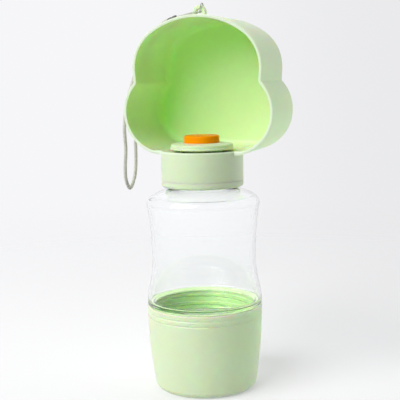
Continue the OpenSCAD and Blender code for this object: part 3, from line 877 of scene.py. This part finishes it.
def cloud_half():
    """The right half of the outline as (point, outward direction), from the floor's middle up to the top."""
    top_c = (0, BOWL_TOP - TOP_ARC_R)
    inner_r = TOP_ARC_R - TOP_LOBE_R
    high_corner = (inner_r * math.sin(math.radians(TOP_SPREAD)),
                   top_c[1] + inner_r * math.cos(math.radians(TOP_SPREAD)))
    notch = meeting(SIDE_LOBE, SIDE_LOBE_R + NOTCH_ROUND, LOW_CORNER, TOP_LOBE_R + NOTCH_ROUND)
    tangent = bearing(LOW_CORNER, high_corner) - 90
    runs = [(SIDE_LOBE, SIDE_LOBE_R, -90, bearing(SIDE_LOBE, notch), 34, 1),
            (notch, NOTCH_ROUND, bearing(notch, SIDE_LOBE) % 360, bearing(notch, LOW_CORNER) % 360, 6, -1),
            (LOW_CORNER, TOP_LOBE_R, bearing(LOW_CORNER, notch), tangent, 2, 1),
            (high_corner, TOP_LOBE_R, tangent, 90 - TOP_SPREAD, 18, 1),
            (top_c, TOP_ARC_R, 90 - TOP_SPREAD, 90, 14, 1)]
    half = [((x, FLOOR_UNDER), (0, -1)) for x in steps_between(0, SIDE_LOBE[0], 8)]
    for centre, radius, start, end, steps, outward in runs:
        rays = arc((0, 0), 1, start, end, steps)[1:]
        half += [((centre[0] + radius * u, centre[1] + radius * v), (outward * u, outward * v))
                 for u, v in rays]
    return half


def bowl_shell():
    """The cloud outline carried along the wall's section: outer back, side, rim, inside and inner back."""
    half = cloud_half()
    whole = half + [((-p[0], p[1]), (-n[0], n[1])) for p, n in reversed(half[1:-1])]
    cap = BACK_ROUND + DRAFT + 1.5
    section = rounded([
        (cap + 6, BOWL_BACK), (cap, BOWL_BACK), (DRAFT, BOWL_BACK, BACK_ROUND), (0, BOWL_FRONT, RIM_ROUND),
        (BOWL_WALL, BOWL_FRONT, RIM_ROUND),
        (BOWL_WALL + DRAFT, BOWL_BACK - BOWL_WALL, BACK_ROUND - BOWL_WALL),
        (cap, BOWL_BACK - BOWL_WALL), (cap + 6, BOWL_BACK - BOWL_WALL)], steps=ROUND_STEPS)
    rings = [[(p[0] - n[0] * inset, y, p[1] - n[1] * inset) for p, n in whole] for inset, y in section]
    rim_from = 2 + (ROUND_STEPS + 1)
    rim_to = rim_from + 2 * (ROUND_STEPS + 1) - 1
    # The rim rings take the paler green, a painted highlight, and the inside rings the deeper green, painted
    # shade.
    material_picks = [0 if i < rim_from else 1 if i < rim_to else 2 for i in range(len(section))]
    shell = skin("bowl_shell", rings, green_wall, material_picks=material_picks)
    shell.data.materials.append(green_rim_painted_highlight)
    shell.data.materials.append(green_inside_painted_shade)
    return shell


def collar():
    made = lathe("collar", rounded([
        (VALVE_HOLE_R - 1, FLOOR_TOP), (COLLAR_R, FLOOR_TOP), (COLLAR_R, SKIRT_LOW, PARTING_ROUND),
        (SKIRT_BORE_R, SKIRT_LOW, 0.2), (SKIRT_BORE_R, FLOOR_UNDER), (VALVE_HOLE_R - 1, FLOOR_UNDER)]), green)
    # Its upward faces, the bowl's floor round the valve, take the deeper inside green: painted shade.
    return finish_or_painted_shade_where(made, green_inside_painted_shade, lambda place, normal: normal.z > 0.9)


def front_lip():
    """The low lip that carries the bowl's rim round the front of the collar."""
    middle_r = COLLAR_R - LIP_T / 2 - LIP_SET_BACK
    bar_y = BOWL_FRONT + LIP_T / 2 + LIP_SET_BACK
    inside_r = SIDE_LOBE_R - BOWL_WALL
    reach_x = SIDE_LOBE[0] + math.sqrt(inside_r ** 2 - (inside_r - LIP_H) ** 2) + 0.5
    turn = math.degrees(math.asin(-bar_y / middle_r))
    front = arc((0, 0), middle_r, 180 + turn, 360 - turn, 96)
    path = [*steps_to((-reach_x, bar_y), front[0]), *front, *reversed(steps_to((reach_x, bar_y), front[-1]))]
    half = LIP_T / 2
    section = rounded([(half, FLOOR_TOP - LIP_H / 2), (half, FLOOR_TOP + LIP_H, 0.5),
                       (-half, FLOOR_TOP + LIP_H, 0.5), (-half, FLOOR_TOP - LIP_H / 2)])
    # The lip takes the rim's paler green: a painted highlight.
    return skin("front_lip", swept(section, path), green_rim_painted_highlight)


def steps_to(start, end, count=4):
    return [(start[0] + (end[0] - start[0]) * k / count, start[1] + (end[1] - start[1]) * k / count)
            for k in range(count)]


def strap_lug():
    """An arch of rounded section, with its feet in the bowl's wall."""
    middle_r = (LUG_R + LUG_HOLE_R) / 2
    half_t = (LUG_R - LUG_HOLE_R) / 2
    foot = BOWL_TOP - 1.3
    path = [(middle_r, foot), (middle_r, (foot + LUG_Z) / 2), *arc((0, LUG_Z), middle_r, 0, 180, 24),
            (-middle_r, (foot + LUG_Z) / 2), (-middle_r, foot)]
    section = rounded([(half_t, LUG_Y[0], 0.6), (half_t, LUG_Y[1], 0.6), (-half_t, LUG_Y[1], 0.6),
                       (-half_t, LUG_Y[0], 0.6)])
    return skin("strap_lug", swept(section, path), green, upright=True)


def make_bowl():
    hole = lathe("valve_hole", [(0, FLOOR_UNDER - 2), (VALVE_HOLE_R, FLOOR_UNDER - 2),
                                (VALVE_HOLE_R, FLOOR_TOP + 2), (0, FLOOR_TOP + 2)], green)
    return combined(bowl_shell(), joined=[collar(), front_lip(), strap_lug()], cut=[hole])


placed(make_bowl(), "cap", "green_plastic", "bowl")


# Outlet disc and button

DISC_R = disc_high.x
DISC_UNDER = FLOOR_TOP + 1.7
DISC_EDGE = 3.2
DISC_STEP = 0.35
WELL_R = 13
WELL_BORE_R = 11.6
WELL_FLOOR = 146.2
WELL_FLOOR_T = 1.6
GLAND_R = 5.6
GLAND_BORE_R = 2.7
GROOVE_R = 4.2
GROOVE_LOW = 0.7
GROOVE_HIGH = 2.4
FINS = 4
FIN_OUT = 2.6
FIN_WIDE = 1.6
FIN_LOW = 147
FIN_SINK = 0.4
FIN_SHIFT = 0.65
STEM_R = 2.5
BOSS_R = 4.2
PLATE_T = 1.6
BUTTON_WALL = 1.4
DISH = 0.25
DISH_EDGE = 3.4
STEM_SEAT = 3.5


def fin_tree():
    """Sets ribs round the well, below the disc."""
    tree, given = new_tree("set_fins", {"Count": "Int", "Size": "Vector", "Place": "Vector"})
    rib = add(tree, "GeometryNodeMeshCube", {"Size": given["Size"]})
    moved = add(tree, "GeometryNodeTransform", {"Geometry": rib, "Translation": given["Place"]})
    spots = add(tree, "GeometryNodeMeshLine", {"Count": given["Count"], "Offset": (0.0, 0.0, 0.0)})
    index = add(tree, "GeometryNodeInputIndex")
    half = maths(tree, "ADD", index, 0.5)
    share = maths(tree, "DIVIDE", half, given["Count"])
    angle = maths(tree, "MULTIPLY", share, 2 * math.pi)
    turn = add(tree, "ShaderNodeCombineXYZ", {"Z": angle})
    ribs = add(tree, "GeometryNodeInstanceOnPoints", {"Points": spots, "Instance": moved, "Rotation": turn})
    both = add(tree, "GeometryNodeJoinGeometry", {"Geometry": ribs})
    tree.links.new(given["Geometry"], both.inputs[0])
    return end_tree(tree, both, given)


def make_disc():
    gland_z = disc_low.z
    well_under = WELL_FLOOR - WELL_FLOOR_T
    edge_top = DISC_UNDER + DISC_EDGE
    disc = lathe("outlet_cover", rounded([
        (GLAND_BORE_R, gland_z, 0.2), (GLAND_R, gland_z, 0.4), (GLAND_R, well_under, 0.4),
        (WELL_R, well_under, 1), (WELL_R, DISC_UNDER, 0.4), (DISC_R, DISC_UNDER, 0.35),
        (DISC_R, DISC_UNDER + 1.1, 0.3), (DISC_R - DISC_STEP, DISC_UNDER + 1.3, 0.2),
        (DISC_R - DISC_STEP, edge_top, 0.7),
        (WELL_BORE_R, disc_high.z, 0.3), (WELL_BORE_R, WELL_FLOOR, 0.4), (GLAND_BORE_R, WELL_FLOOR, 0.2),
        (GLAND_BORE_R, gland_z + GROOVE_HIGH), (GROOVE_R, gland_z + GROOVE_HIGH),
        (GROOVE_R, gland_z + GROOVE_LOW), (GLAND_BORE_R, gland_z + GROOVE_LOW)]))
    fin = Vector((FIN_OUT, FIN_WIDE, DISC_UNDER - FIN_LOW + FIN_SINK))
    run_tree(disc, fin_tree(), material=green, count=FINS, size=fin * MM,
             place=Vector((WELL_R + FIN_SHIFT, 0, FIN_LOW + fin.z / 2)) * MM)
    return shaded(disc)


def make_button():
    top = button_high.z
    plate = top - PLATE_T
    button_r = button_high.x
    skirt = button_low.z + 1
    return lathe("press_button", rounded([
        (0, top - DISH), (button_r - DISH_EDGE, top - 0.1, 2.0), (button_r, top, 1.1), (button_r, skirt, 0.25),
        (button_r - BUTTON_WALL, skirt, 0.25), (button_r - BUTTON_WALL, plate, 0.5), (BOSS_R, plate, 0.4),
        (BOSS_R, button_low.z, 0.3), (STEM_R, button_low.z), (STEM_R, top - STEM_SEAT),
        (0, top - STEM_SEAT)]), orange)


placed(make_disc(), "cap", "green_plastic", "outlet_disc")
placed(make_button(), "press", "orange_plastic", "button")


# Return spring

SPRING_WIRE = 0.9
SPRING_TURNS = 5.5


def make_spring():
    start = bpy.data.objects.new("spring_coil", bpy.data.meshes.new("spring_coil"))
    bpy.context.scene.collection.objects.link(start)
    length = spring_high.z - spring_low.z - SPRING_WIRE
    coil_r = spring_high.x - SPRING_WIRE / 2
    return run_tree(start, spring_tree(), material=steel, coil=coil_r * MM, wire=SPRING_WIRE / 2 * MM,
                    turns=SPRING_TURNS, low=(spring_low.z + SPRING_WIRE / 2) * MM, length=length * MM)


spring = placed(make_spring(), "cap", "steel", "return_spring")
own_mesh(spring)


# CAD nodes that keep their own shape get their finish

def dress(node, material):
    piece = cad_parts[node]
    piece.data.materials.clear()
    piece.data.materials.append(material)


for node, material, slot in [
        ("cup_seal", tinted_silicone, "silicone"), ("neck_seal", silicone, "silicone"),
        ("floor_seal", silicone, "silicone"), ("valve_washer", silicone, "silicone"),
        ("valve_body", green, "green_plastic"), ("stem_seal", rubber, "black_rubber"),
        ("valve_stem", acetal, "white_plastic"), ("washer_holder", acetal, "white_plastic"),
        ("stem_screw", steel, "steel")]:
    dress(node, material)


# Studio: white floor, white surroundings, one large soft lamp to the left and above

FLOOR_R = 4.0
FLOOR_BELOW = 0.0002
KEY_TURN_DEG = -48
KEY_RISE_DEG = 37
KEY_DISTANCE = 2.6
KEY_SIZE = (2.2, 2.0)
KEY_POWER = 75
ROOM_TURN_DEG = -20
ROOM_FRONT = 0.1
ROOM_LEVEL = 1.22
THROUGH_CLEAR = 0.08
LIGHT_AIM = Vector((0, 0, 0.13))


def lamp(name, turn, rise, distance, size, power):
    """A soft lamp, placed by its bearing from the camera's side and its height, aimed at the bottle."""
    data = bpy.data.lights.new(name, "AREA")
    data.shape = "RECTANGLE"
    data.size, data.size_y = size
    data.energy = power
    made = bpy.data.objects.new(name, data)
    bpy.context.scene.collection.objects.link(made)
    a = math.radians(CAMERA_TURN_DEG + turn)
    e = math.radians(rise)
    way = Vector((math.sin(a) * math.cos(e), -math.cos(a) * math.cos(e), math.sin(e)))
    made.location = LIGHT_AIM + way * distance
    made.rotation_mode = "QUATERNION"
    made.rotation_quaternion = way.to_track_quat("Z", "Y")


def larger(tree, one, two):
    return maths(tree, "MAXIMUM", one, two).outputs[0]


def make_floor():
    """White paper, seamless: it takes the shadow, and fades into the surroundings far off."""
    shape = bmesh.new()
    bmesh.ops.create_circle(shape, cap_ends=True, radius=FLOOR_R, segments=96)
    data = bpy.data.meshes.new("floor")
    shape.to_mesh(data)
    shape.free()
    floor = bpy.data.objects.new("floor", data)
    bpy.context.scene.collection.objects.link(floor)
    floor.location.z = -FLOOR_BELOW
    paper = bpy.data.materials.new("paper_seamless_white")
    paper.use_nodes = True
    tree = paper.node_tree
    tree.nodes.clear()
    diffuse = add(tree, "ShaderNodeBsdfDiffuse", {"Color": linear("F6F6F7")})
    place = add(tree, "ShaderNodeTexCoord").outputs["Object"]
    away = on_vectors(tree, "LENGTH", place).outputs["Value"]
    fade = add(tree, "ShaderNodeMapRange", {"Value": away, "From Min": 0.1, "From Max": 0.9, "To Min": 0.35},
               interpolation_type="SMOOTHSTEP")
    clear_far = add(tree, "ShaderNodeBsdfTransparent")
    surface = add(tree, "ShaderNodeMixShader", {0: fade.outputs[0], 1: diffuse, 2: clear_far})
    add(tree, "ShaderNodeOutputMaterial", {"Surface": surface})
    data.materials.append(paper)


def make_world():
    """White surroundings whose light is bright behind the bottle and dim in front. Seen by the camera and
    through clear plastic, they are pale on every side. The levels are fitted to the photograph."""
    world = bpy.data.worlds.new("studio")
    world.use_nodes = True
    bpy.context.scene.world = world
    tree = world.node_tree
    tree.nodes.clear()
    way = add(tree, "ShaderNodeTexCoord").outputs["Generated"]
    turn = math.radians(CAMERA_TURN_DEG)
    side = on_vectors(tree, "DOT_PRODUCT", way, (math.cos(turn), math.sin(turn), 0)).outputs["Value"]
    turn += math.radians(ROOM_TURN_DEG)
    behind = on_vectors(tree, "DOT_PRODUCT", way, (-math.sin(turn), math.cos(turn), 0)).outputs["Value"]
    level = add(tree, "ShaderNodeMapRange", {
        "Value": side, "From Min": -0.08, "From Max": 0.21, "To Min": 1.01, "To Max": 0.9},
        interpolation_type="SMOOTHSTEP")
    facing = add(tree, "ShaderNodeMapRange", {
        "Value": behind, "From Min": -0.3, "From Max": 0.8, "To Min": ROOM_FRONT, "To Max": 1.0},
        interpolation_type="SMOOTHSTEP")
    path = add(tree, "ShaderNodeLightPath").outputs
    plain = larger(tree, path["Is Camera Ray"], path["Is Transmission Ray"])
    through = maths(tree, "MULTIPLY_ADD", path["Is Transmission Ray"], THROUGH_CLEAR, level.outputs[0])
    seen_level = maths(tree, "MULTIPLY", through, larger(tree, plain, facing.outputs[0]))
    room_level = maths(tree, "MULTIPLY", facing, ROOM_LEVEL)
    seen = add(tree, "ShaderNodeBackground", {"Color": linear("F5F5F7"), "Strength": seen_level})
    room = add(tree, "ShaderNodeBackground", {"Color": linear("FFFFFF"), "Strength": room_level})
    mix = add(tree, "ShaderNodeMixShader", {0: larger(tree, plain, path["Is Glossy Ray"]), 1: room, 2: seen})
    add(tree, "ShaderNodeOutputWorld", {"Surface": mix})


lamp("key", KEY_TURN_DEG, KEY_RISE_DEG, KEY_DISTANCE, KEY_SIZE, KEY_POWER)
make_floor()
make_world()
bpy.context.scene.view_settings.view_transform = "Standard"
